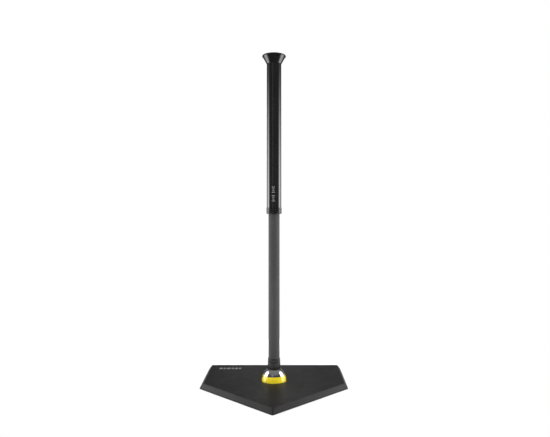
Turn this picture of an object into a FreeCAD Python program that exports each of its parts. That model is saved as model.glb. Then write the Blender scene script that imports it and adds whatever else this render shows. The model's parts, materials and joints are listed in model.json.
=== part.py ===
"""Pivoting batting tee: a rubber home plate carries a ball joint, and a telescoping pole with a flared ball cup.

Millimetres, +Z up. The origin is on the ground, at the centre of the plate's footprint. The point of the
home plate faces -Y and its straight front edge faces +Y. The pole stands on an axis parallel to Z, POLE_Y
behind the origin. The pole is modelled upright on the Z axis and moved onto its own axis when it is saved.
"""

import FreeCAD, Part

import math
import os

V = FreeCAD.Vector

# Driving dimensions
PLATE_WIDTH = 381.0  # a 15 inch home plate, in the regulation proportions
PLATE_THICK = 14.0
POLE_Y = 33.5
BALL_R = 28.8  # the pivot ball
BALL_Z = 19.8  # height of its centre
LOWER_TUBE_R = 14.6
UPPER_TUBE_R = 19.1
TUBE_WALL = 1.5  # the steel lower tube
UPPER_WALL = 2.0  # the moulded upper tube
COLLAR_Z = 451.0  # lowest face of the upper tube's grip collar
UPPER_TOP_Z = 842.5  # top of the upper tube
CUP_RIM_Z = 866.5
CUP_RIM_R = 31.1
RUN = 0.05  # radial clearance of everything that turns or slides
SEAT = 0.03  # radial clearance of round pieces that sit still

# The plate and what is under it
SKIRT_H = 3.0  # upright edge below the bevel
BEVEL_IN = 8.5
EDGE_ROUND = 1.2
CORNER_ROUND = 2.5
BALLAST_WIDTH = 270.0
BALLAST_THICK = 3.0
BALLAST_Z = 0.6
BALLAST_TOP = BALLAST_Z + BALLAST_THICK
BALLAST_SLACK = 0.5

# The socket of the ball joint
RING_FLANGE_R = 48.0
RING_FLANGE_TOP = BALLAST_TOP + 5.5
RING_BODY_R = 32.4
RING_TOP_R = 29.3
RING_TOP_Z = 27.6
PLATE_HOLE_R = 34.0
RING_SCREW_CIRCLE_R = 40.5
RING_SCREW_COUNT = 6

# The pivot ball, which is a thin shell, and the sprung dome inside it
SHELL_WALL = 2.5
SHELL_INNER_R = BALL_R - SHELL_WALL
SHELL_EDGE_DEG = 100.0  # from the pole's axis down to the shell's open edge
DOME_R = SHELL_INNER_R - RUN
DOME_FOOT_DEG = 118.0
DOME_BORE_R = 16.2
DOME_SHELF_Z = BALL_Z + 6.0
DOME_SHELF_THICK = 3.0
THRUST_THICK = 1.0
THRUST_R = 17.0
SPRING_MEAN_R = 13.2
SPRING_WIRE_R = 1.4
SPRING_TURNS = 5.0
TILT_STOP_DEG = 22.5  # the washer under the bolt's head then meets the edge of the dome's window

# The bolt that clamps ball, collar and pole together
BOLT_R = 4.95
BOLT_HOLE_R = 5.25
HEAD_ACROSS_FLATS = 17.0
HEAD_H = 6.4
WASHER_R = 10.5
WASHER_FLAT_Z = BALL_Z + 22.7
BOLT_TOP_Z = 82.0

# The pole
FOOT_COLLAR_R = 16.8
FOOT_COLLAR_TOP = 71.5
TUBE_FOOT_Z = 55.0
FOOT_PLUG_TOP = 92.0
RIVET_R = 2.0
FOOT_RIVET_Z = 63.0
FOOT_RIVET_INNER = 8.0
LOWER_TUBE_TOP = 561.0
GUIDE_SHANK_H = 30.0
GUIDE_HEAD_H = 32.0
GUIDE_BORE_R = 8.0
GUIDE_PIN_Z = 546.0
FRICTION_RING_Z = (570.0, 584.0)
FRICTION_RING_SECTION_R = 1.2
COLLAR_H = 16.0
COLLAR_R = 19.9
COLLAR_LIP = 3.0
LINER_H = 30.0
ADAPTER_H = 36.5  # how far the cup's adapter reaches down into the upper tube
CUP_FLOOR_Z = 844.5

LOWER_BORE_R = LOWER_TUBE_R - TUBE_WALL
UPPER_BORE_R = UPPER_TUBE_R - UPPER_WALL
RIVET_REACH = LOWER_TUBE_R - 0.2  # rivets and pins end just short of the tube's surface


def outline(steps):
    """Closed wire in the XZ plane. A step (r, z) is a straight line to that point, and a step
    (r1, z1, r2, z2) is an arc through the first point to the second."""
    here = V(steps[0][0], 0, steps[0][1])
    first = here
    edges = []
    for step in list(steps[1:]) + [steps[0]]:
        end = V(step[-2], 0, step[-1])
        if len(step) == 4:
            edges.append(Part.Arc(here, V(step[0], 0, step[1]), end).toShape())
        elif (end - here).Length > 1e-6:
            edges.append(Part.LineSegment(here, end).toShape())
        here = end
    assert (here - first).Length < 1e-6
    return Part.Wire(edges)


def turned(steps):
    """Solid of revolution about the Z axis."""
    return Part.Face(outline(steps)).revolve(V(0, 0, 0), V(0, 0, 1), 360)


def rod(radius, z0, z1, x=0.0, y=0.0):
    return Part.makeCylinder(radius, z1 - z0, V(x, y, z0))


def on_ball(radius, degrees):
    """(r, z) at an angle from the pole's axis, on a sphere about the ball's centre."""
    a = math.radians(degrees)
    return radius * math.sin(a), BALL_Z + radius * math.cos(a)


def ball_arc(radius, start, end):
    """Outline step along that sphere from one angle to another."""
    return on_ball(radius, (start + end) / 2) + on_ball(radius, end)


def ball_angle(radius, r):
    """Angle from the pole's axis at which a sphere about the ball's centre has radius r."""
    return math.degrees(math.asin(r / radius))


def home_plate(width, inset, z):
    """Home plate outline, made smaller by inset on every side, as a wire at height z."""
    half = width / 2
    tip_inset = inset * math.sqrt(2)
    corner_drop = inset * math.tan(math.radians(22.5))
    x = half - inset
    points = [
        V(-x, half - inset, z),
        V(-x, corner_drop, z),
        V(0, -half + tip_inset, z),
        V(x, corner_drop, z),
        V(x, half - inset, z),
    ]
    return Part.makePolygon(points + points[:1])


def slab(width, inset, z0, z1):
    return Part.Face(home_plate(width, inset, z0)).extrude(V(0, 0, z1 - z0))


def around(count, radius, phase=0.0):
    """Points evenly spaced on a circle about the pole."""
    for i in range(count):
        a = math.radians(phase + 360.0 * i / count)
        yield radius * math.cos(a), radius * math.sin(a)


def ballast_screw_places():
    """The ballast plate's corner screws, in the plate's own frame."""
    inset = 16.0
    half = BALLAST_WIDTH / 2
    x = half - inset
    return [(-x, x), (x, x), (-x, inset), (x, inset), (0, -half + 2 * inset)]


def countersunk_screw(x, y, shank_r, head_r, tip_z, grow=0.0):
    """Screw that comes up from below, flush with the ballast plate, and grow larger all round."""
    head_h = head_r - shank_r
    foot = BALLAST_Z
    head = Part.makeCone(head_r + grow, shank_r + grow, head_h, V(x, y, foot))
    return head.fuse(rod(shank_r + grow, foot, tip_z, x, y)).removeSplitter()


def hex_socket(x, y, across, depth):
    """The driver's recess in a screw's face."""
    r = across / math.sqrt(3)
    corners = [V(x + px, y + py, BALLAST_Z) for px, py in around(6, r)]
    return Part.Face(Part.makePolygon(corners + corners[:1])).extrude(V(0, 0, depth))


def cut_each(body, tools):
    for tool in tools:
        body = body.cut(tool)
    return body


RING_SCREW = {"shank_r": 2.0, "head_r": 4.0}
BALLAST_SCREW = {"shank_r": 2.5, "head_r": 5.0}
RING_SCREW_TIP = RING_FLANGE_TOP - 0.8
BALLAST_SCREW_TIP = 9.6
INSERT_R = 4.5
INSERT_TOP = 10.4
INSERT_HEAD_R = 8.0
INSERT_HEAD_H = 1.2


def ring_screw_places():
    return list(around(RING_SCREW_COUNT, RING_SCREW_CIRCLE_R, 30.0))


# ---- the base, in the footprint's frame ----


def plate():
    """Moulded rubber home plate, with pockets under it for the steel and the socket's flange."""
    skirt = slab(PLATE_WIDTH, 0.0, 0.0, SKIRT_H)
    bevelled = Part.makeLoft(
        [home_plate(PLATE_WIDTH, 0.0, SKIRT_H), home_plate(PLATE_WIDTH, BEVEL_IN, PLATE_THICK)], True
    )
    body = skirt.fuse(bevelled).removeSplitter()
    corners = [e for e in body.Edges if e.BoundBox.ZLength > 1]
    body = body.makeFillet(CORNER_ROUND, corners)
    brink = [e for e in body.Edges if e.BoundBox.ZMin > PLATE_THICK - 0.01]
    body = body.makeFillet(EDGE_ROUND, brink)
    body = body.cut(slab(BALLAST_WIDTH, -BALLAST_SLACK, 0.0, BALLAST_TOP))
    body = body.cut(rod(RING_FLANGE_R + BALLAST_SLACK, 0, RING_FLANGE_TOP, 0, POLE_Y))
    body = body.cut(rod(PLATE_HOLE_R, 0, PLATE_THICK + 1, 0, POLE_Y))
    mouth = Part.makeCone(PLATE_HOLE_R, PLATE_HOLE_R + 1, 1, V(0, POLE_Y, PLATE_THICK - 1))
    body = body.cut(mouth)
    return cut_each(body, [insert_blank(x, y, SEAT) for x, y in ballast_screw_places()])


def insert_blank(x, y, grow):
    barrel = rod(INSERT_R + grow, BALLAST_TOP, INSERT_TOP + grow, x, y)
    head = rod(INSERT_HEAD_R + grow, BALLAST_TOP, BALLAST_TOP + INSERT_HEAD_H + grow, x, y)
    return barrel.fuse(head).removeSplitter()


def plate_inserts():
    """Flanged brass nuts moulded into the rubber."""
    bore = BALLAST_SCREW["shank_r"] + SEAT
    return [
        insert_blank(x, y, 0.0).cut(rod(bore, 0, INSERT_TOP - 0.5, x, y)) for x, y in ballast_screw_places()
    ]


def ballast_plate():
    """Steel sheet that weighs the base down and closes the socket from below."""
    body = slab(BALLAST_WIDTH, 0.0, BALLAST_Z, BALLAST_TOP)
    upright = [e for e in body.Edges if e.BoundBox.ZLength > 1]
    body = body.makeFillet(6.0, upright)
    tools = [
        countersunk_screw(x, y, tip_z=BALLAST_TOP + 1, grow=SEAT, **BALLAST_SCREW)
        for x, y in ballast_screw_places()
    ]
    tools += [
        countersunk_screw(x, y + POLE_Y, tip_z=BALLAST_TOP + 1, grow=SEAT, **RING_SCREW)
        for x, y in ring_screw_places()
    ]
    return cut_each(body, tools)


def ballast_screws():
    return [
        countersunk_screw(x, y, tip_z=BALLAST_SCREW_TIP, **BALLAST_SCREW).cut(hex_socket(x, y, 4.0, 1.6))
        for x, y in ballast_screw_places()
    ]


# ---- the ball joint, on the Z axis ----


def socket_ring():
    """Yellow retaining ring. Its flange is clamped under the rubber, and its lip closes over the ball."""
    bore = BALL_R + RUN
    lip_deg = math.degrees(math.acos((RING_TOP_Z - 0.5 - BALL_Z) / bore))
    lip = on_ball(bore, lip_deg)
    body = turned(
        [
            (bore, BALLAST_TOP),
            (RING_FLANGE_R, BALLAST_TOP),
            (RING_FLANGE_R, RING_FLANGE_TOP),
            (RING_BODY_R, RING_FLANGE_TOP),
            (RING_BODY_R, PLATE_THICK),
            (RING_BODY_R - 1.2, PLATE_THICK + 6.0, RING_TOP_R, RING_TOP_Z - 1.0),
            (RING_TOP_R - 0.2, RING_TOP_Z - 0.3, RING_TOP_R - 0.7, RING_TOP_Z),
            (lip[0] + 0.3, RING_TOP_Z),
            lip,
            ball_arc(bore, lip_deg, 90.0),
        ]
    )
    holes = [
        rod(RING_SCREW["shank_r"] + SEAT, BALLAST_TOP, RING_SCREW_TIP + 0.2, x, y)
        for x, y in ring_screw_places()
    ]
    return cut_each(body, holes)


def ring_screws():
    return [
        countersunk_screw(x, y, tip_z=RING_SCREW_TIP, **RING_SCREW).cut(hex_socket(x, y, 3.0, 1.4))
        for x, y in ring_screw_places()
    ]


def thrust_washer():
    """Slippery washer that the spring turns on."""
    low = BALLAST_TOP
    top = low + THRUST_THICK
    return turned([(8.0, low), (THRUST_R, low), (THRUST_R, top), (8.0, top)])


def pressure_spring():
    """Coil spring that presses the friction dome up into the ball."""
    low = BALLAST_TOP + THRUST_THICK + RUN + SPRING_WIRE_R
    high = DOME_SHELF_Z - RUN - SPRING_WIRE_R
    height = high - low
    helix = Part.makeHelix(height / SPRING_TURNS, height, SPRING_MEAN_R)
    helix.translate(V(0, 0, low))
    section = Part.Wire([Part.makeCircle(SPRING_WIRE_R, V(SPRING_MEAN_R, 0, low), V(0, 1, 0))])
    return Part.Wire(helix.Edges).makePipeShell([section], True, True)


def friction_dome():
    """Moulded dome inside the ball. Its window lets the bolt's head swing and then stops the washer."""
    shelf_top = DOME_SHELF_Z + DOME_SHELF_THICK
    window_deg = ball_angle(DOME_R, WASHER_R) + TILT_STOP_DEG
    foot = on_ball(DOME_R, DOME_FOOT_DEG)
    return turned(
        [
            on_ball(DOME_R, window_deg),
            ball_arc(DOME_R, window_deg, DOME_FOOT_DEG),
            (DOME_BORE_R, foot[1]),
            (DOME_BORE_R, DOME_SHELF_Z),
            (5.0, DOME_SHELF_Z),
            (5.0, shelf_top),
            (DOME_BORE_R + 0.6, shelf_top),
            (DOME_BORE_R + 1.2, shelf_top + 1.5),
        ]
    )


def pivot_ball():
    """Polished shell, open below, with a hole on top for the bolt."""
    outer_top = ball_angle(BALL_R, BOLT_HOLE_R)
    inner_top = ball_angle(SHELL_INNER_R, BOLT_HOLE_R)
    return turned(
        [
            on_ball(BALL_R, outer_top),
            ball_arc(BALL_R, outer_top, SHELL_EDGE_DEG),
            on_ball(SHELL_INNER_R, SHELL_EDGE_DEG),
            ball_arc(SHELL_INNER_R, SHELL_EDGE_DEG, inner_top),
        ]
    )


def pivot_washer():
    """Washer with a domed top that fits the inside of the ball."""
    top_r = SHELL_INNER_R - SEAT
    rim_deg = ball_angle(top_r, WASHER_R)
    hole_deg = ball_angle(top_r, BOLT_HOLE_R)
    return turned(
        [
            (BOLT_HOLE_R, WASHER_FLAT_Z),
            (WASHER_R, WASHER_FLAT_Z),
            on_ball(top_r, rim_deg),
            ball_arc(top_r, rim_deg, hole_deg),
        ]
    )


def pivot_bolt():
    """Hex bolt, head down inside the ball, up through the collar into the foot plug."""
    r = HEAD_ACROSS_FLATS / math.sqrt(3)
    low = WASHER_FLAT_Z - HEAD_H
    corners = [V(x, y, low) for x, y in around(6, r)]
    head = Part.Face(Part.makePolygon(corners + corners[:1])).extrude(V(0, 0, HEAD_H))
    shank = rod(BOLT_R, WASHER_FLAT_Z - 1, BOLT_TOP_Z)
    point = [e for e in shank.Edges if e.BoundBox.ZMin > BOLT_TOP_Z - 0.01]
    return head.fuse(shank.makeChamfer(0.8, point)).removeSplitter()


# ---- the pole, on the Z axis ----


def foot_collar():
    """Black boot that seats on the ball and holds the foot of the lower tube."""
    seat_r = BALL_R + 0.02
    rim_deg = ball_angle(seat_r, FOOT_COLLAR_R)
    hole_deg = ball_angle(seat_r, BOLT_HOLE_R)
    pocket = LOWER_TUBE_R + SEAT
    top = FOOT_COLLAR_TOP
    return turned(
        [
            on_ball(seat_r, rim_deg),
            (FOOT_COLLAR_R, TUBE_FOOT_Z - 4),
            (16.5, TUBE_FOOT_Z + 5, 16.4, top - 1.2),
            (16.1, top - 0.3, 15.4, top),
            (pocket, top),
            (pocket, TUBE_FOOT_Z),
            (BOLT_HOLE_R, TUBE_FOOT_Z),
            on_ball(seat_r, hole_deg),
            ball_arc(seat_r, hole_deg, rim_deg),
        ]
    )


def cross_rod(radius, z, reach):
    """Rod along X through the pole's axis."""
    return Part.makeCylinder(radius, 2 * reach, V(-reach, 0, z), V(1, 0, 0))


def foot_plug():
    """Threaded plug inside the foot of the lower tube, held by two rivets."""
    r = LOWER_BORE_R - SEAT
    body = turned(
        [
            (BOLT_R + SEAT, TUBE_FOOT_Z),
            (r, TUBE_FOOT_Z),
            (r, FOOT_PLUG_TOP - 2),
            (r - 2, FOOT_PLUG_TOP),
            (0, FOOT_PLUG_TOP),
            (0, BOLT_TOP_Z + 3),
            (BOLT_R + SEAT, BOLT_TOP_Z + 2),
        ]
    )
    for side in (-1, 1):
        drill = Part.makeCylinder(
            RIVET_R + SEAT, 20, V(side * (FOOT_RIVET_INNER - 0.1), 0, FOOT_RIVET_Z), V(side, 0, 0)
        )
        body = body.cut(drill)
    return body


def foot_rivets():
    length = RIVET_REACH - FOOT_RIVET_INNER
    return [
        Part.makeCylinder(RIVET_R, length, V(side * FOOT_RIVET_INNER, 0, FOOT_RIVET_Z), V(side, 0, 0))
        for side in (-1, 1)
    ]


def lower_tube():
    """Steel tube of the pole's lower half."""
    body = turned(
        [
            (LOWER_BORE_R, TUBE_FOOT_Z),
            (LOWER_TUBE_R, TUBE_FOOT_Z),
            (LOWER_TUBE_R, LOWER_TUBE_TOP),
            (LOWER_BORE_R, LOWER_TUBE_TOP),
        ]
    )
    body = body.cut(cross_rod(RIVET_R + SEAT, FOOT_RIVET_Z, 20))
    return body.cut(cross_rod(RIVET_R + SEAT, GUIDE_PIN_Z, 20))


def guide_bush():
    """Nylon plug on top of the lower tube. Its head runs in the upper tube and carries the friction rings."""
    shank = LOWER_BORE_R - SEAT
    head = UPPER_BORE_R - RUN
    top = LOWER_TUBE_TOP + GUIDE_HEAD_H
    body = turned(
        [
            (GUIDE_BORE_R, LOWER_TUBE_TOP - GUIDE_SHANK_H),
            (shank - 1, LOWER_TUBE_TOP - GUIDE_SHANK_H),
            (shank, LOWER_TUBE_TOP - GUIDE_SHANK_H + 1),
            (shank, LOWER_TUBE_TOP),
            (head - 1, LOWER_TUBE_TOP),
            (head, LOWER_TUBE_TOP + 1),
            (head, top - 2),
            (head - 2, top),
            (GUIDE_BORE_R, top),
        ]
    )
    groove_floor = head - 2 * FRICTION_RING_SECTION_R - SEAT
    half = FRICTION_RING_SECTION_R + 0.2
    for z in FRICTION_RING_Z:
        groove = rod(head + 5, z - half, z + half).cut(rod(groove_floor, z - half, z + half))
        body = body.cut(groove)
    return body.cut(cross_rod(RIVET_R + SEAT, GUIDE_PIN_Z, 20))


def guide_pin():
    return cross_rod(RIVET_R, GUIDE_PIN_Z, RIVET_REACH)


def friction_rings():
    """Rubber rings that grip the upper tube's bore and hold the height."""
    r = UPPER_BORE_R - RUN - FRICTION_RING_SECTION_R
    return [Part.makeTorus(r, FRICTION_RING_SECTION_R, V(0, 0, z)) for z in FRICTION_RING_Z]


def collar_liner():
    """Nylon bush inside the foot of the upper tube, running on the lower tube. The guide bush stops on it."""
    low = COLLAR_Z + COLLAR_LIP
    return turned(
        [
            (LOWER_TUBE_R + RUN, low),
            (UPPER_BORE_R - SEAT, low),
            (UPPER_BORE_R - SEAT, low + LINER_H - 1),
            (UPPER_BORE_R - SEAT - 1, low + LINER_H),
            (LOWER_TUBE_R + RUN, low + LINER_H),
        ]
    )


def grip_collar():
    """Ring that caps the foot of the upper tube."""
    low = COLLAR_Z
    top = COLLAR_Z + COLLAR_H
    sleeve = UPPER_TUBE_R + SEAT
    return turned(
        [
            (LOWER_TUBE_R + 0.3, low + 0.6),
            (LOWER_TUBE_R + 0.9, low),
            (COLLAR_R - 2.0, low),
            (COLLAR_R - 0.5, low + 0.5, COLLAR_R, low + 2.0),
            (COLLAR_R, top - 1.0),
            (COLLAR_R - 0.2, top - 0.2, sleeve + 0.1, top),
            (sleeve, top),
            (sleeve, low + COLLAR_LIP),
            (LOWER_TUBE_R + 0.3, low + COLLAR_LIP),
        ]
    )


def upper_tube():
    """Glossy black tube of the pole's upper half."""
    low = COLLAR_Z + COLLAR_LIP
    top = UPPER_TOP_Z
    return turned(
        [
            (UPPER_BORE_R, low),
            (UPPER_TUBE_R, low),
            (UPPER_TUBE_R, top - 0.8),
            (UPPER_TUBE_R - 0.2, top - 0.2, UPPER_TUBE_R - 0.8, top),
            (UPPER_BORE_R, top),
        ]
    )


def cup_adapter():
    """Plug in the top of the upper tube, with a hollow spigot whose lip traps the cup's floor."""
    plug = UPPER_BORE_R - SEAT
    neck = 13.0
    bore = 10.0
    lip_z = CUP_FLOOR_Z + 4.0
    return turned(
        [
            (14.0, UPPER_TOP_Z - ADAPTER_H),
            (plug - 1, UPPER_TOP_Z - ADAPTER_H),
            (plug, UPPER_TOP_Z - ADAPTER_H + 1),
            (plug, UPPER_TOP_Z),
            (UPPER_TUBE_R - 1.0, UPPER_TOP_Z),
            (UPPER_TUBE_R - 1.0, CUP_FLOOR_Z),
            (neck, CUP_FLOOR_Z),
            (neck, lip_z),
            (neck + 1.5, lip_z),
            (neck + 1.3, lip_z + 0.9, neck + 0.5, lip_z + 1.2),
            (bore + 0.6, lip_z + 1.2),
            (bore, lip_z + 0.6),
            (bore, CUP_FLOOR_Z - 4),
            (14.0, CUP_FLOOR_Z - 8),
        ]
    )


def ball_cup():
    """Flexible flared cup that a baseball sits in, on the inner edge of its rim."""
    floor = CUP_FLOOR_Z
    rim = CUP_RIM_R
    top = CUP_RIM_Z
    return turned(
        [
            (13.0 + SEAT, floor),
            (UPPER_TUBE_R - 0.5, floor),
            (UPPER_TUBE_R, floor + 0.6),
            (rim - 1.3, top - 2.6),
            (rim, top - 2.2),
            (rim, top - 0.8),
            (rim - 0.3, top - 0.2, rim - 0.9, top),
            (rim - 1.9, top),
            (rim - 2.7, top - 0.5, rim - 3.3, top - 1.2),
            (17.4, floor + 4.6),
            (16.9, floor + 4.1, 16.2, floor + 4.0),
            (13.0 + SEAT, floor + 4.0),
        ]
    )


BASE_NODES = {
    "home_plate": plate,
    "plate_inserts": plate_inserts,
    "ballast_plate": ballast_plate,
    "ballast_screws": ballast_screws,
}

POLE_NODES = {
    "socket_ring": socket_ring,
    "socket_ring_screws": ring_screws,
    "thrust_washer": thrust_washer,
    "pressure_spring": pressure_spring,
    "friction_dome": friction_dome,
    "pivot_ball": pivot_ball,
    "pivot_washer": pivot_washer,
    "pivot_bolt": pivot_bolt,
    "foot_collar": foot_collar,
    "foot_plug": foot_plug,
    "foot_rivets": foot_rivets,
    "lower_tube": lower_tube,
    "guide_bush": guide_bush,
    "guide_pin": guide_pin,
    "friction_rings": friction_rings,
    "collar_liner": collar_liner,
    "grip_collar": grip_collar,
    "upper_tube": upper_tube,
    "cup_adapter": cup_adapter,
    "ball_cup": ball_cup,
}


def save(name, made, offset):
    """Writes one node, which is one solid or a list of separate solids."""
    solids = made if isinstance(made, list) else [made]
    shape = Part.makeCompound(solids) if len(solids) > 1 else solids[0]
    shape.translate(offset)
    assert shape.isValid(), name
    assert all(s.Volume > 0 for s in shape.Solids), name
    assert len(shape.Solids) == len(solids), name
    shape.exportStep(f"parts/{name}.step")
    print(f"{name}: {len(shape.Solids)} solid(s), {shape.Volume / 1000:.2f} cm3")


def main():
    os.makedirs("parts", exist_ok=True)
    for name, make in BASE_NODES.items():
        save(name, make(), V(0, 0, 0))
    for name, make in POLE_NODES.items():
        save(name, make(), V(0, POLE_Y, 0))


main()
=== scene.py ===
"""Studio scene of a tilting batting tee, dressed around its CAD frame. Metres, in its axes.

The rubber plate, the flared cup, the grip collar and the boot are rebuilt here with moulded detail,
and stand for their CAD nodes. Every other CAD node is shown as it is. All wear procedural materials.
"""

import json
import math

import bmesh
import bpy
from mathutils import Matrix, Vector


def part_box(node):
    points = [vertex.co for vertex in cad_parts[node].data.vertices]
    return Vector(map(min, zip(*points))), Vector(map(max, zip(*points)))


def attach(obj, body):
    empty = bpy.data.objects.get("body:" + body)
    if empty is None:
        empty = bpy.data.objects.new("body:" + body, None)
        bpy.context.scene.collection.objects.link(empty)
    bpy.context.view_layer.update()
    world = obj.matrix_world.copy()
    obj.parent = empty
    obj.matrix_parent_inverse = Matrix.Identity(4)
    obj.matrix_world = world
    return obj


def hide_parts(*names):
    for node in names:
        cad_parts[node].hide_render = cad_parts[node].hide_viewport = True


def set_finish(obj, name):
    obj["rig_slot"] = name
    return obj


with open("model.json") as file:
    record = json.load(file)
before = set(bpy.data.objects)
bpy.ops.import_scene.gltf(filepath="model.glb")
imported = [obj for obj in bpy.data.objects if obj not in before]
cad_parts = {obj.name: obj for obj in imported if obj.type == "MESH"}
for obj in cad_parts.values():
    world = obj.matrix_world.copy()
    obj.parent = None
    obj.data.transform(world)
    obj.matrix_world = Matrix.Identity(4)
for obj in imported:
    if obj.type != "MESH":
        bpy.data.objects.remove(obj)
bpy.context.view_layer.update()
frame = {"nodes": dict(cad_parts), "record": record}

MM = 0.001
WHITE = (1.0, 1.0, 1.0, 1.0)

# Sizes that the CAD sets
PLATE_LOW, PLATE_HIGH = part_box("home_plate")
RING_LOW, RING_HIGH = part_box("socket_ring")
CUP_LOW, CUP_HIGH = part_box("ball_cup")
COLLAR_LOW, COLLAR_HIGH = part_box("grip_collar")
BOOT_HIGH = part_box("foot_collar")[1]
BALL_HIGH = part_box("pivot_ball")[1]

PLATE_WIDTH = PLATE_HIGH.x - PLATE_LOW.x
PLATE_TOP = PLATE_HIGH.z
POLE_Y = (RING_LOW.y + RING_HIGH.y) / 2
UPPER_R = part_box("upper_tube")[1].x
LOWER_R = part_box("lower_tube")[1].x
BALL_R = BALL_HIGH.x


# -------------------------------------------------------------------------------------------------
# Mesh building
# -------------------------------------------------------------------------------------------------

SHARP_ANGLE = math.radians(38)
TURN_SEGMENTS = 144
ARC_STEPS = 5


def fillet(before, corner, after, radius, steps):
    """Points of the arc that rounds one corner of a flat outline. It never takes up half a side."""
    to_before = (before - corner).normalized()
    to_after = (after - corner).normalized()
    half = to_before.angle(to_after) / 2
    longest = 0.49 * min((before - corner).length, (after - corner).length)
    reach = min(radius / math.tan(half), longest)
    radius = reach * math.tan(half)
    centre = corner + (to_before + to_after).normalized() * (radius / math.sin(half))
    first = corner + to_before * reach - centre
    turn = first.angle_signed(corner + to_after * reach - centre)
    points = []
    for i in range(steps + 1):
        a = -turn * i / steps
        x = first.x * math.cos(a) - first.y * math.sin(a)
        y = first.x * math.sin(a) + first.y * math.cos(a)
        points.append(centre + Vector((x, y)))
    return points


def rounded(corners, closed=True):
    """An outline in metres from corners in millimetres. A corner is (a, b), or (a, b, radius)."""
    flat = [Vector((c[0], c[1])) * MM for c in corners]
    points = []
    for i, c in enumerate(corners):
        at_end = not closed and i in (0, len(corners) - 1)
        if len(c) < 3 or at_end:
            points.append(flat[i])
        else:
            points += fillet(flat[i - 1], flat[i], flat[(i + 1) % len(flat)], c[2] * MM, ARC_STEPS)
    return points


def about_pole(r, a, z):
    """The point at a radius and an angle about the pole's axis."""
    return Vector((r * math.cos(a), POLE_Y + r * math.sin(a), z))


def skin(loops):
    """Closed tube of faces over a ring of loops, each a list of the same number of points."""
    mesh = bmesh.new()
    rows = [[mesh.verts.new(p) for p in loop] for loop in loops]
    for i, row in enumerate(rows):
        other = rows[(i + 1) % len(rows)]
        for j in range(len(row)):
            k = (j + 1) % len(row)
            mesh.faces.new((row[j], row[k], other[k], other[j]))
    bmesh.ops.recalc_face_normals(mesh, faces=mesh.faces)
    return mesh


def lathe(outline):
    """Solid of revolution about the pole's axis, from a closed (radius, height) outline."""
    turns = [2 * math.pi * i / TURN_SEGMENTS for i in range(TURN_SEGMENTS)]
    return skin([[about_pole(r, a, z) for a in turns] for r, z in outline])


def strip(mesh, sections):
    """Adds a closed strip through a row of four-cornered sections."""
    rows = [[mesh.verts.new(p) for p in section] for section in sections]
    for row, other in zip(rows, rows[1:]):
        for j in range(4):
            k = (j + 1) % 4
            mesh.faces.new((row[j], row[k], other[k], other[j]))
    mesh.faces.new(rows[0])
    mesh.faces.new(rows[-1])


def piece(name, mesh, body, slot, replaces=()):
    """Turns a bmesh into a piece of the object that moves with a CAD body."""
    data = bpy.data.meshes.new(name)
    mesh.to_mesh(data)
    mesh.free()
    data.shade_smooth()
    data.set_sharp_from_angle(angle=SHARP_ANGLE)
    obj = bpy.data.objects.new(name, data)
    bpy.context.scene.collection.objects.link(obj)
    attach(obj, body)
    if replaces:
        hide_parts(*replaces)
    if slot:
        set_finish(obj, slot)
    return obj


# -------------------------------------------------------------------------------------------------
# Plate
# -------------------------------------------------------------------------------------------------

# In metres. The pocket below takes the ballast, and the hole and its flange take the yellow ring.
CORNER_R = 2.5 * MM
POCKET_WIDTH = 271 * MM
POCKET_TOP = 3.6 * MM
FLANGE_R = 48.5 * MM
FLANGE_TOP = 9.1 * MM
HOLE_R = 34 * MM
HOLE_LIP = 1.2 * MM
HOLE_LIP_MIDDLE = 0.35 * MM

# The edge in millimetres, measured inwards from the outline or up from the ground
UNDERSIDE_INSET = 44
GROOVE_INSETS = (36, 26, 16)
GROOVE_MOUTH = 2.6
GROOVE_ROOF = 1.9
GROOVE_DEPTH = 1.3
SKIRT = 3.0
BEVEL = 8.5
BRINK_INSET = 16

# How finely the plate is divided
CORNER_STEPS = 6
SIDE_SPANS = 26
TOP_LOOPS = 12
POCKET_LOOPS = 4

# The printed bars, in millimetres
BAR_LEFT = -157.0
BAR_NEAR = 137.5
BAR_FAR = 150.5
BAR_SLANT = 2.5
BAR_GAP = 4.2
BAR_INK = 0.12
BAR_LENGTHS = (7.5, 5.0, 9.0, 5.0, 7.5, 5.0)


def plate_outline(width, inset, z):
    """Home plate outline with rounded corners, at one height. It always has as many points."""
    x = width / 2 - inset
    tip = inset * math.sqrt(2) - width / 2
    shoulder = inset * math.tan(math.radians(22.5))
    corners = [Vector(c) for c in ((x, x), (-x, x), (-x, shoulder), (0, tip), (x, shoulder))]
    arcs = []
    for i, corner in enumerate(corners):
        after = corners[(i + 1) % len(corners)]
        arcs.append(fillet(corners[i - 1], corner, after, CORNER_R, CORNER_STEPS))
    points = []
    for i, arc in enumerate(arcs):
        points += arc
        start = arc[-1]
        end = arcs[(i + 1) % len(arcs)][0]
        points += [start.lerp(end, k / SIDE_SPANS) for k in range(1, SIDE_SPANS)]
    return [Vector((p.x, p.y, z)) for p in points]


def circle_towards(outline, r, z):
    """Circle about the pole's axis whose points look towards an outline's points."""
    return [about_pole(r, math.atan2(p.y - POLE_Y, p.x), z) for p in outline]


def between(a, b, count):
    """Loops evenly spread between two loops, without either."""
    shares = [i / (count + 1) for i in range(1, count + 1)]
    return [[p.lerp(q, share) for p, q in zip(a, b)] for share in shares]


def grip_groove(inset):
    """Corners of one moulded groove round the plate's underside."""
    return [
        (inset + GROOVE_MOUTH, 0, 0.5),
        (inset + GROOVE_ROOF, GROOVE_DEPTH, 0.6),
        (inset - GROOVE_ROOF, GROOVE_DEPTH, 0.6),
        (inset - GROOVE_MOUTH, 0, 0.5),
    ]


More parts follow.
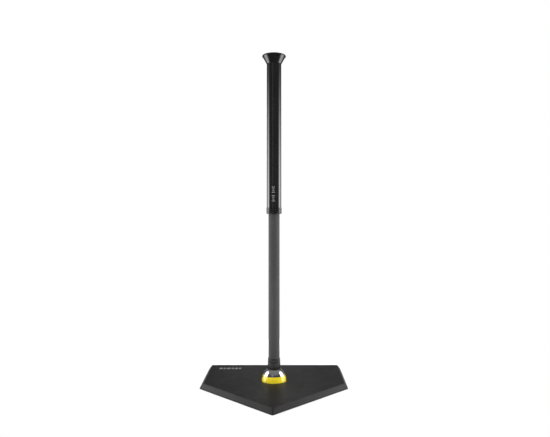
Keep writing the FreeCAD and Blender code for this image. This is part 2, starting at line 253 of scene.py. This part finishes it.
def make_plate():
    """Rubber home plate: grooved underside, skirt, bevel, rounded brink and the ring's hole."""
    thick = PLATE_TOP / MM
    rim = [(UNDERSIDE_INSET, 0)]
    for inset in GROOVE_INSETS:
        rim += grip_groove(inset)
    rim += [(0, 0, 0.9), (0, SKIRT, 0.8), (BEVEL, thick, 1.8), (BRINK_INSET, thick)]
    loops = [plate_outline(POCKET_WIDTH, 0, 0)]
    loops += [plate_outline(PLATE_WIDTH, p.x, p.y) for p in rounded(rim, closed=False)]
    edge = loops[-1]
    mouth = circle_towards(edge, HOLE_R + HOLE_LIP, PLATE_TOP)
    loops += [*between(edge, mouth, TOP_LOOPS), mouth]
    loops.append(circle_towards(edge, HOLE_R + HOLE_LIP_MIDDLE, PLATE_TOP - HOLE_LIP_MIDDLE))
    loops.append(circle_towards(edge, HOLE_R, PLATE_TOP - HOLE_LIP))
    loops.append(circle_towards(edge, HOLE_R, FLANGE_TOP))
    loops.append(circle_towards(edge, FLANGE_R, FLANGE_TOP))
    ceiling = circle_towards(edge, FLANGE_R, POCKET_TOP)
    pocket = plate_outline(POCKET_WIDTH, 0, POCKET_TOP)
    loops += [ceiling, *between(ceiling, pocket, POCKET_LOOPS), pocket]
    return piece("plate_moulding", skin(loops), "base", "plate_rubber", ["home_plate"])


def make_plate_mark():
    """A row of plain slanted bars in pale ink, in the plate's far left corner."""
    mesh = bmesh.new()
    low = PLATE_TOP / MM
    high = low + BAR_INK
    x = BAR_LEFT
    for length in BAR_LENGTHS:
        sections = []
        for near in (x, x + length):
            far = near + BAR_SLANT
            corners = (
                (near, BAR_NEAR, low),
                (far, BAR_FAR, low),
                (far, BAR_FAR, high),
                (near, BAR_NEAR, high),
            )
            sections.append([Vector(c) * MM for c in corners])
        strip(mesh, sections)
        x += length + BAR_GAP
    bmesh.ops.recalc_face_normals(mesh, faces=mesh.faces)
    return piece("plate_mark", mesh, "base", None)


# -------------------------------------------------------------------------------------------------
# Pole
# -------------------------------------------------------------------------------------------------

# The printed ticks, in metres but for their widths round the tube, which are in millimetres
TICK_LOW = 0.483
TICK_PITCH = 4.5 * MM
TICK_HEIGHT = 2.4 * MM
TICK_LIFT = 0.02 * MM
TICK_INK = 0.05 * MM
TICK_WIDTHS = (8.0, 5.0, 5.0, 8.0)
TICK_SPANS = 6
TICK_BEARING = -math.pi / 2 - 0.08

# The lip's height in metres, and the rest of the cup in millimetres
CUP_LIP = 3 * MM
CUP_HOLE_R = 13.05
CUP_FLOOR = 4.0
CUP_FLOOR_R = 16.2
CUP_WALL_FOOT_R = 17.4
CUP_RING_SHARES = (0.25, 0.5, 0.75)

# The grip collar's grooves, in millimetres above its foot
COLLAR_GROOVES = (4.6, 10.4)
COLLAR_GROOVE_DEPTH = 0.3

# The boot, in millimetres
BALL_HOLE_R = 5.25
BOOT_HOLE_R = 5.3
BOOT_POCKET = 16.5
BOOT_SEAT_SPANS = 12


def make_tube_mark():
    """Two ladders of plain ticks in grey ink, printed up the front of the upper tube."""
    mesh = bmesh.new()
    inner = UPPER_R + TICK_LIFT
    outer = inner + TICK_INK
    for ladder in (TICK_LOW, TICK_LOW + (len(TICK_WIDTHS) + 1) * TICK_PITCH):
        for i, width in enumerate(TICK_WIDTHS):
            low = ladder + i * TICK_PITCH
            high = low + TICK_HEIGHT
            sections = []
            for k in range(TICK_SPANS + 1):
                a = TICK_BEARING + width * MM / inner * (k / TICK_SPANS - 0.5)
                corners = ((inner, low), (outer, low), (outer, high), (inner, high))
                sections.append([about_pole(r, a, z) for r, z in corners])
            strip(mesh, sections)
    bmesh.ops.recalc_face_normals(mesh, faces=mesh.faces)
    return piece("tube_mark", mesh, "upper_pole", None)


def make_cup():
    """Flexible cup, with a thickened lip and shallow rings moulded inside it."""
    low = CUP_LOW.z / MM
    top = CUP_HIGH.z / MM
    rim = CUP_HIGH.x / MM
    outer = [
        (CUP_HOLE_R, low),
        (UPPER_R / MM, low, 0.6),
        (rim - 1.3, top - 2.6, 0.6),
        (rim, top - 2.2, 0.3),
        (rim, top, 0.9),
        (rim - 2.6, top, 1.0),
    ]
    wall_top = Vector((rim - 3.3, top - 1.2))
    wall_foot = Vector((CUP_WALL_FOOT_R, low + CUP_FLOOR + 0.6))
    inner = [(wall_top.x, wall_top.y, 0.6)]
    for share in CUP_RING_SHARES:
        at = wall_top.lerp(wall_foot, share)
        inner.append((at.x + 0.5, at.y + 0.8, 0.2))
        inner.append((at.x - 0.35, at.y + 0.3, 0.25))
        inner.append((at.x - 0.5, at.y - 0.8, 0.2))
    inner += [
        (wall_foot.x, wall_foot.y, 0.8),
        (CUP_FLOOR_R, low + CUP_FLOOR, 0.4),
        (CUP_HOLE_R, low + CUP_FLOOR, 0.3),
    ]
    cup = lathe(rounded(outer + inner))
    return piece("cup_moulding", cup, "upper_pole", "cup_rubber", ["ball_cup"])


def make_grip_collar():
    """Ring at the foot of the upper tube, with two fine grooves."""
    low = COLLAR_LOW.z / MM
    top = COLLAR_HIGH.z / MM
    r = COLLAR_HIGH.x / MM
    sleeve = UPPER_R / MM + 0.03
    bore = LOWER_R / MM + 0.3
    step = low + 3
    outline = [(bore, step), (bore, low, 0.6), (r, low, 2.0)]
    for height in COLLAR_GROOVES:
        z = low + height
        floor = r - COLLAR_GROOVE_DEPTH
        outline += [(r, z, 0.2), (floor, z + 0.35, 0.2), (floor, z + 0.85, 0.2), (r, z + 1.2, 0.2)]
    outline += [(r, top, 0.7), (sleeve, top), (sleeve, step)]
    collar = lathe(rounded(outline))
    return piece("collar_moulding", collar, "upper_pole", "black_plastic", ["grip_collar"])


def make_boot():
    """Black boot between the ball and the lower tube. Its foot follows the ball."""
    top = BOOT_HIGH.z / MM
    r = BOOT_HIGH.x / MM
    pocket = LOWER_R / MM + 0.03
    centre = (BALL_HIGH.z - math.sqrt(BALL_R**2 - (BALL_HOLE_R * MM) ** 2)) / MM
    seat = BALL_R / MM + 0.02
    outline = []
    for i in range(BOOT_SEAT_SPANS + 1):
        radius = BOOT_HOLE_R + (r - BOOT_HOLE_R) * i / BOOT_SEAT_SPANS
        outline.append((radius, centre + math.sqrt(seat**2 - radius**2)))
    outline += [
        (r, top - 20.5, 0.6),
        (r - 0.2, top - 9.6, 0.3),
        (r - 0.75, top - 9.0, 0.2),
        (r - 0.75, top - 8.0, 0.2),
        (r - 0.25, top - 7.4, 0.3),
        (r - 0.45, top, 1.0),
        (pocket, top, 0.2),
        (pocket, top - BOOT_POCKET),
        (BOOT_HOLE_R, top - BOOT_POCKET),
    ]
    boot = lathe(rounded(outline))
    return piece("boot_moulding", boot, "lower_pole", "black_plastic", ["foot_collar"])


# -------------------------------------------------------------------------------------------------
# Materials
# -------------------------------------------------------------------------------------------------


class Surface:
    """A procedural material. Each method adds a node and gives back its output."""

    def __init__(self, name, **sockets):
        self.material = bpy.data.materials.new(name)
        self.material.use_nodes = True
        self.tree = self.material.node_tree
        self.shader = self.tree.nodes["Principled BSDF"]
        self.place = self.add("ShaderNodeTexCoord").outputs["Object"]
        self.put(**sockets)

    def add(self, kind, settings=None, **sockets):
        node = self.tree.nodes.new(kind)
        for key, value in (settings or {}).items():
            setattr(node, key, value)
        self.fill(node, sockets)
        return node

    def feed(self, socket, value):
        """Links an output into a socket, or sets the socket to a constant."""
        if isinstance(value, bpy.types.NodeSocket):
            self.tree.links.new(value, socket)
        else:
            socket.default_value = value

    def fill(self, node, sockets):
        for key, value in sockets.items():
            self.feed(node.inputs[key.replace("_", " ")], value)

    def put(self, **sockets):
        """Sets the shader's own sockets, by name with underscores for spaces."""
        self.fill(self.shader, sockets)

    def noise(self, scale, detail=3.0, rough=0.55, stretch=(1, 1, 1), offset=(0, 0, 0)):
        """Noise with features about 1/scale metres across, made longer where stretch is below 1."""
        place = self.add("ShaderNodeMapping", Vector=self.place, Scale=stretch, Location=offset)
        node = self.add(
            "ShaderNodeTexNoise", Vector=place.outputs[0], Scale=scale, Detail=detail, Roughness=rough
        )
        return node.outputs["Fac"]

    def cells(self, scale):
        """Distance to the nearest of many points, about 1/scale metres apart."""
        node = self.add("ShaderNodeTexVoronoi", {"feature": "F1"}, Vector=self.place, Scale=scale)
        return node.outputs["Distance"]

    def span(self, value, low, high, out_low=0.0, out_high=1.0):
        """Smooth step from out_low to out_high as value goes from low to high."""
        node = self.add("ShaderNodeMapRange", {"interpolation_type": "SMOOTHSTEP"})
        self.tree.links.new(value, node.inputs[0])
        for socket, number in zip(node.inputs[1:5], (low, high, out_low, out_high)):
            socket.default_value = number
        return node.outputs[0]

    def maths(self, operation, a, b):
        node = self.add("ShaderNodeMath", {"operation": operation})
        self.feed(node.inputs[0], a)
        self.feed(node.inputs[1], b)
        return node.outputs[0]

    def mix(self, share, a, b):
        """Colour mix. a and b are colours or outputs."""
        node = self.add("ShaderNodeMix", {"data_type": "RGBA"})
        self.feed(node.inputs[0], share)
        self.feed(node.inputs[6], a)
        self.feed(node.inputs[7], b)
        return node.outputs[2]

    def axis(self, letter):
        return self.add("ShaderNodeSeparateXYZ", Vector=self.place).outputs[letter]

    def bumps(self, *layers):
        """Bump of (height, depth in metres) layers, one over the other, on the shader's normal."""
        normal = None
        for height, depth in layers:
            node = self.add("ShaderNodeBump", Height=height, Distance=depth, Strength=1.0)
            if normal is not None:
                self.tree.links.new(normal, node.inputs["Normal"])
            normal = node.outputs["Normal"]
        self.tree.links.new(normal, self.shader.inputs["Normal"])


def grey(level, tint=0.0):
    """Linear grey. A positive tint warms it."""
    return (level * (1 + tint), level, level * (1 - tint), 1.0)


def plate_rubber():
    """Satin moulded rubber: fine grain, faint flow marks, and pale scuffs in patches."""
    s = Surface("plate_rubber", Specular_IOR_Level=0.17)
    flow = s.noise(9, detail=2, stretch=(1, 0.35, 1))
    grain = s.noise(620, detail=2)
    pebble = s.cells(420)
    scuff = s.span(s.noise(55, detail=6, rough=0.7, stretch=(0.25, 1, 1)), 0.60, 0.74)
    patch = s.span(s.noise(11, detail=2, offset=(3, 1, 0)), 0.45, 0.68)
    scuffs = s.maths("MULTIPLY", scuff, patch)
    base = s.mix(s.span(flow, 0.3, 0.7), grey(0.007), grey(0.011, 0.01))
    speckled = s.mix(s.span(grain, 0.62, 0.72, 0, 0.2), base, grey(0.035, 0.02))
    s.put(Base_Color=s.mix(s.maths("MULTIPLY", scuffs, 0.4), speckled, grey(0.06, 0.03)))
    rough = s.span(s.noise(45, detail=5), 0.3, 0.7, 0.46, 0.51)
    s.put(Roughness=s.maths("ADD", rough, s.maths("MULTIPLY", scuffs, 0.08)))
    s.bumps((pebble, 0.00014), (grain, 0.00008), (scuffs, 0.00003))
    return s.material


def yellow_plastic():
    """Glossy moulded plastic: slight orange peel, hair scratches, and dust with painted shade round
    its foot.
    """
    s = Surface("yellow_plastic", Coat_Weight=0.35, Coat_Roughness=0.08)
    cloud = s.noise(60, detail=3)
    # Painted shade mixed with dust: the ring darkens in patches towards its foot, where it sits in the
    # plate.
    foot = s.span(s.axis("Z"), 0.0185, 0.0145)
    dust = s.maths("MULTIPLY", foot, s.span(s.noise(180, detail=5), 0.35, 0.7))
    base = s.mix(s.span(cloud, 0.3, 0.7), (0.93, 0.74, 0.02, 1), (0.87, 0.67, 0.016, 1))
    # The dust mask paints shade too: it browns and darkens the ring towards its foot.
    s.put(Base_Color=s.mix(s.maths("MULTIPLY", dust, 0.35), base, (0.30, 0.25, 0.14, 1)))
    scratch = s.span(s.noise(700, detail=2, stretch=(1, 1, 6)), 0.62, 0.70)
    rough = s.span(cloud, 0.3, 0.7, 0.2, 0.3)
    s.put(Roughness=s.maths("ADD", rough, s.maths("MULTIPLY", scratch, 0.15)))
    s.bumps((s.noise(240, detail=1), 0.00006), (scratch, 0.00001))
    return s.material


def chrome():
    """Polished plate: nearly a mirror, with fine rubbing rings and faint smears."""
    s = Surface("chrome", Metallic=1.0)
    smear = s.span(s.noise(70, detail=5, rough=0.65), 0.45, 0.75)
    rings = s.noise(2600, detail=1, stretch=(0.04, 0.04, 1))
    rub = s.maths("MULTIPLY", s.span(rings, 0.55, 0.7), s.span(s.axis("Z"), 0.034, 0.027))
    s.put(Base_Color=s.mix(s.maths("MULTIPLY", smear, 0.5), grey(0.52), grey(0.38, 0.02)))
    rough = s.span(smear, 0, 1, 0.035, 0.13)
    s.put(Roughness=s.maths("ADD", rough, s.maths("MULTIPLY", rub, 0.16)))
    s.bumps((rings, 0.000004), (smear, 0.000006))
    return s.material


def grey_tube():
    """Satin powder coat: fine orange peel, and long rub marks where the upper tube slides."""
    s = Surface("grey_tube_paint", Specular_IOR_Level=0.15)
    peel = s.noise(900, detail=2)
    rub = s.span(s.noise(420, detail=3, stretch=(1, 1, 0.012)), 0.58, 0.70)
    travel = s.span(s.noise(16, detail=3, stretch=(0.3, 0.3, 1)), 0.42, 0.62)
    marks = s.maths("MULTIPLY", rub, travel)
    cloud = s.noise(14, detail=3, stretch=(1, 1, 0.3))
    base = s.mix(s.span(cloud, 0.3, 0.7), grey(0.064), grey(0.078))
    s.put(Base_Color=s.mix(s.maths("MULTIPLY", marks, 0.5), base, grey(0.15)))
    rough = s.span(cloud, 0.3, 0.7, 0.52, 0.60)
    s.put(Roughness=s.maths("SUBTRACT", rough, s.maths("MULTIPLY", marks, 0.1)))
    s.bumps((peel, 0.00002), (marks, 0.000008))
    return s.material


def gloss_black():
    """Deep glossy black with the long waves of a drawn tube, hair scratches and a little dust."""
    s = Surface("gloss_black", Coat_Weight=0.5, Coat_Roughness=0.05, Specular_IOR_Level=0.5)
    wave = s.noise(26, detail=1, stretch=(1, 1, 0.25))
    hairs = s.span(s.noise(800, detail=2, stretch=(1, 1, 0.03)), 0.64, 0.70)
    dust = s.span(s.noise(1500, detail=1), 0.75, 0.80)
    base = s.mix(s.span(wave, 0.3, 0.7), grey(0.008), grey(0.012))
    s.put(Base_Color=s.mix(s.maths("MULTIPLY", dust, 0.25), base, grey(0.10, 0.04)))
    rough = s.span(wave, 0.3, 0.7, 0.10, 0.15)
    s.put(Roughness=s.maths("ADD", rough, s.maths("MULTIPLY", hairs, 0.12)))
    s.bumps((wave, 0.00005), (s.noise(900, detail=1), 0.000002), (hairs, 0.000003))
    return s.material


def cup_rubber():
    """Flexible rubber, glossy from the mould, with a faint grain and rubbed pale at the lip."""
    s = Surface("cup_rubber", Specular_IOR_Level=0.5)
    grain = s.noise(900, detail=2)
    cloud = s.noise(70, detail=4, rough=0.6)
    lip = s.span(s.axis("Z"), CUP_HIGH.z - CUP_LIP, CUP_HIGH.z)
    worn = s.maths("MULTIPLY", lip, s.span(cloud, 0.45, 0.7))
    base = s.mix(s.span(cloud, 0.3, 0.7), grey(0.006), grey(0.010))
    s.put(Base_Color=s.mix(s.maths("MULTIPLY", worn, 0.5), base, grey(0.06, 0.03)))
    rough = s.span(cloud, 0.3, 0.7, 0.13, 0.19)
    s.put(Roughness=s.maths("ADD", rough, s.maths("MULTIPLY", worn, 0.2)))
    s.bumps((grain, 0.00003), (cloud, 0.00005))
    return s.material


def black_plastic():
    """Satin black moulding, spark-eroded texture, polished a little by handling."""
    s = Surface("black_plastic", Specular_IOR_Level=0.45)
    texture = s.noise(1400, detail=2)
    cloud = s.noise(90, detail=4)
    base = s.mix(s.span(cloud, 0.3, 0.7), grey(0.007), grey(0.012))
    s.put(Base_Color=s.mix(s.span(texture, 0.66, 0.74, 0, 0.3), base, grey(0.05)))
    s.put(Roughness=s.span(cloud, 0.3, 0.7, 0.15, 0.24))
    s.bumps((texture, 0.00002),)
    return s.material


def soft_rubber():
    """Matt rubber of the friction rings."""
    s = Surface("soft_rubber", Specular_IOR_Level=0.35)
    cloud = s.noise(300, detail=4)
    s.put(Base_Color=s.mix(s.span(cloud, 0.3, 0.7), grey(0.012), grey(0.024)))
    s.put(Roughness=s.span(cloud, 0.3, 0.7, 0.5, 0.65))
    s.bumps((cloud, 0.00003),)
    return s.material


def natural_nylon():
    """Uncoloured nylon, waxy, with faint flow marks."""
    s = Surface("natural_nylon", Subsurface_Weight=0.1, Subsurface_Radius=(0.002, 0.0018, 0.0014))
    flow = s.noise(60, detail=4, stretch=(1, 1, 0.3))
    s.put(Base_Color=s.mix(s.span(flow, 0.3, 0.7), (0.74, 0.71, 0.62, 1), (0.66, 0.62, 0.52, 1)))
    s.put(Roughness=s.span(flow, 0.3, 0.7, 0.34, 0.48))
    s.bumps((s.noise(700, detail=2), 0.00002),)
    return s.material


def white_acetal():
    """Smooth slippery plastic of the thrust washer, with turned rings."""
    s = Surface("white_acetal")
    rings = s.noise(1500, detail=1, stretch=(1, 1, 0.05))
    s.put(Base_Color=s.mix(s.span(rings, 0.3, 0.7), grey(0.78, 0.01), grey(0.70, 0.02)))
    s.put(Roughness=s.span(rings, 0.3, 0.7, 0.28, 0.4))
    s.bumps((rings, 0.00001),)
    return s.material


def metal(name, light, dark, rough, scale=500, stretch=(1, 1, 1), depth=0.00001):
    """Bare or plated metal: two tones, a brushed or mottled roughness and a fine grain."""
    s = Surface(name, Metallic=1.0)
    grain = s.noise(scale, detail=3, stretch=stretch)
    cloud = s.noise(60, detail=5, rough=0.65)
    s.put(Base_Color=s.mix(s.span(cloud, 0.35, 0.7), light, dark))
    mottle = s.span(cloud, 0.3, 0.7, rough, rough + 0.07)
    s.put(Roughness=s.maths("ADD", mottle, s.span(grain, 0.4, 0.8, 0, 0.08)))
    s.bumps((grain, depth),)
    return s.material


def print_ink(name, level):
    """Screen-printed ink, slightly uneven and worn thin in spots."""
    s = Surface(name, Specular_IOR_Level=0.4)
    wear = s.span(s.noise(700, detail=4, rough=0.7), 0.52, 0.72)
    s.put(Base_Color=s.mix(s.maths("MULTIPLY", wear, 0.6), grey(level, 0.01), grey(level * 0.35)))
    s.put(Roughness=s.span(wear, 0, 1, 0.4, 0.6))
    s.bumps((wear, 0.00001),)
    return s.material


def zinc_steel():
    """Zinc-plated sheet, with its grain running from front to back."""
    bright = grey(0.58, -0.02)
    dull = grey(0.52, 0.01)
    return metal("zinc_steel", bright, dull, 0.30, scale=260, stretch=(1, 0.02, 1), depth=0.00002)


def turned_aluminium():
    """Bare aluminium with the fine rings of a lathe."""
    bright = grey(0.72, -0.01)
    return metal("aluminium", bright, grey(0.58), 0.26, scale=900, stretch=(0.05, 0.05, 1))


def make_materials():
    """The material of each of the record's slots, by name."""
    return {
        "plate_rubber": plate_rubber(),
        "yellow_plastic": yellow_plastic(),
        "chrome": chrome(),
        "grey_tube_paint": grey_tube(),
        "gloss_black": gloss_black(),
        "cup_rubber": cup_rubber(),
        "black_plastic": black_plastic(),
        "soft_rubber": soft_rubber(),
        "natural_nylon": natural_nylon(),
        "white_acetal": white_acetal(),
        "brass": metal("brass", (0.68, 0.50, 0.20, 1), (0.50, 0.34, 0.12, 1), 0.22),
        "zinc_steel": zinc_steel(),
        "screw_steel": metal("screw_steel", grey(0.52), grey(0.36), 0.24),
        "spring_steel": metal("spring_steel", grey(0.30), grey(0.16, 0.05), 0.28),
        "aluminium": turned_aluminium(),
        "rivet_aluminium": metal("rivet_aluminium", grey(0.72, -0.01), grey(0.55), 0.30),
    }


def dress(made):
    """Gives every CAD node and every piece the material of its slot."""
    materials = make_materials()
    for entry in frame["record"]["subparts"]:
        node = frame["nodes"][entry["node"]]
        node.data.materials.clear()
        node.data.materials.append(materials[entry["material_slot"]])
    inks = {"plate_mark": print_ink("plate_ink", 0.23), "tube_mark": print_ink("tube_ink", 0.22)}
    for obj in made:
        obj.data.materials.append(inks[obj.name] if obj.name in inks else materials[obj["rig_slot"]])


# -------------------------------------------------------------------------------------------------
# Studio
# -------------------------------------------------------------------------------------------------

CAMERA_PLACE = Vector((0.0205, POLE_Y - 1.38775, 0.4194))
CAMERA_LENS = 34.5
CAMERA_SHIFT = (-0.0124, 0.0133)
CAMERA_SENSOR = 36.0

# The floor lies just under the plate and glows from halfway out to its edge, to end as white
FLOOR_R = 0.6
FLOOR_DROP = 0.0002
FLOOR_GLOW = 0.3

# Side panels, from the pole's axis
PANEL_X = 1.05
PANEL_FRONT = -0.32
PANEL_PEAK = 0.08
PANEL_BACK = 1.1
PANEL_FADE = 0.5
PANEL_TOP = 1.27
PANEL_GLOW = 6.0

# How bright the studio is beside and above the object, where the camera itself can't see it
SKY_SIDE = 0.1
SKY_TOP = 0.3


def make_floor():
    """Plain pale disc under the object."""
    mesh = bmesh.new()
    bmesh.ops.create_circle(mesh, cap_ends=True, radius=FLOOR_R, segments=128)
    data = bpy.data.meshes.new("floor")
    mesh.to_mesh(data)
    mesh.free()
    floor = bpy.data.objects.new("floor", data)
    floor.location.z = -FLOOR_DROP
    bpy.context.scene.collection.objects.link(floor)
    s = Surface("floor_paper", Roughness=0.9, Specular_IOR_Level=0.1, Emission_Color=WHITE)
    s.put(Base_Color=s.mix(s.span(s.noise(6, detail=2), 0.3, 0.7), grey(0.90), grey(0.88)))
    out = s.add("ShaderNodeVectorMath", {"operation": "LENGTH"})
    s.tree.links.new(s.place, out.inputs[0])
    s.put(Emission_Strength=s.span(out.outputs["Value"], FLOOR_R / 2, FLOOR_R, 0, FLOOR_GLOW))
    data.materials.append(s.material)


def make_camera():
    data = bpy.data.cameras.new("camera")
    data.lens = CAMERA_LENS
    data.sensor_width = CAMERA_SENSOR
    data.shift_x, data.shift_y = CAMERA_SHIFT
    camera = bpy.data.objects.new("camera", data)
    camera.location = CAMERA_PLACE
    camera.rotation_euler = (math.pi / 2, 0, 0)
    bpy.context.scene.collection.objects.link(camera)
    bpy.context.scene.camera = camera


def around_pole(degrees, distance, z):
    """A point at an angle from the camera's side, seen from above, and to the right if positive."""
    a = math.radians(degrees)
    return Vector((distance * math.sin(a), POLE_Y - distance * math.cos(a), z))


def make_panel(side):
    """Tall soft panel beside the object, fading towards its top and towards its two edges."""
    mesh = bmesh.new()
    low = ((PANEL_FRONT, 0), (PANEL_BACK, 0))
    high = ((PANEL_BACK, PANEL_TOP), (PANEL_FRONT, PANEL_TOP))
    mesh.faces.new([mesh.verts.new((side * PANEL_X, POLE_Y + y, z)) for y, z in low + high])
    data = bpy.data.meshes.new("panel")
    mesh.to_mesh(data)
    mesh.free()
    panel = bpy.data.objects.new("panel", data)
    panel.visible_camera = False
    bpy.context.scene.collection.objects.link(panel)
    s = Surface("panel_glow", Base_Color=(0, 0, 0, 1), Specular_IOR_Level=0, Emission_Color=WHITE)
    height = s.span(s.axis("Z"), PANEL_FADE, PANEL_TOP, 1, 0)
    near = s.span(s.axis("Y"), POLE_Y + PANEL_FRONT, POLE_Y + PANEL_PEAK)
    far = s.span(s.axis("Y"), POLE_Y + PANEL_PEAK, POLE_Y + PANEL_BACK, 1, 0)
    glow = s.maths("MULTIPLY", height, s.maths("MULTIPLY", near, far))
    s.put(Emission_Strength=PANEL_GLOW, Alpha=glow)
    data.materials.append(s.material)


def softbox(name, place, target, width, height, radiance, mirrored=True):
    """Rectangular light that faces target. Its power follows from how bright its face is."""
    data = bpy.data.lights.new(name, "AREA")
    data.shape = "RECTANGLE"
    data.size = width
    data.size_y = height
    data.energy = radiance * math.pi * width * height
    light = bpy.data.objects.new(name, data)
    light.location = place
    light.rotation_euler = (Vector(target) - Vector(place)).to_track_quat("-Z", "Y").to_euler()
    light.visible_camera = False
    light.visible_glossy = mirrored
    bpy.context.scene.collection.objects.link(light)


def make_world():
    """White to the camera. To everything else it is dim all round, and a little paler above."""
    world = bpy.data.worlds.new("studio")
    bpy.context.scene.world = world
    world.use_nodes = True
    nodes = world.node_tree.nodes
    link = world.node_tree.links.new
    seen = nodes["Background"]
    seen.inputs["Color"].default_value = WHITE
    seen.inputs["Strength"].default_value = 1.0
    lit = nodes.new("ShaderNodeBackground")
    lit.inputs["Color"].default_value = WHITE
    split = nodes.new("ShaderNodeSeparateXYZ")
    link(nodes.new("ShaderNodeTexCoord").outputs["Generated"], split.inputs[0])
    rise = nodes.new("ShaderNodeMapRange")
    rise.interpolation_type = "SMOOTHSTEP"
    link(split.outputs["Z"], rise.inputs[0])
    for socket, number in zip(rise.inputs[1:5], (0.35, 0.85, SKY_SIDE, SKY_TOP)):
        socket.default_value = number
    link(rise.outputs[0], lit.inputs["Strength"])
    rays = nodes.new("ShaderNodeLightPath")
    choice = nodes.new("ShaderNodeMixShader")
    link(rays.outputs["Is Camera Ray"], choice.inputs[0])
    link(lit.outputs[0], choice.inputs[1])
    link(seen.outputs[0], choice.inputs[2])
    link(choice.outputs[0], nodes["World Output"].inputs["Surface"])


def make_lights():
    """Two soft lights that only shade, a narrow one for a streak up the pole, and a glint behind."""
    foot = around_pole(0, 0, 0)
    joint = around_pole(0, 0, 0.1)
    middle = around_pole(0, 0, 0.6)
    softbox("overhead", (0.0, 0.2, 2.0), (0, 0, 0), 1.8, 1.5, radiance=1.9, mirrored=False)
    softbox("front_fill", around_pole(5, 1.35, 1.1), joint, 1.0, 0.9, radiance=6.2, mirrored=False)
    softbox("front_streak", around_pole(-20, 1.5, 0.6), middle, 0.2, 1.5, radiance=0.45)
    softbox("back_glow", around_pole(180, 1.7, 0.95), foot, 0.45, 0.35, radiance=2.3)


dress([make_plate(), make_plate_mark(), make_tube_mark(), make_cup(), make_grip_collar(), make_boot()])
make_floor()
make_camera()
make_panel(-1)
make_panel(1)
make_lights()
make_world()
bpy.context.scene.view_settings.view_transform = "Standard"
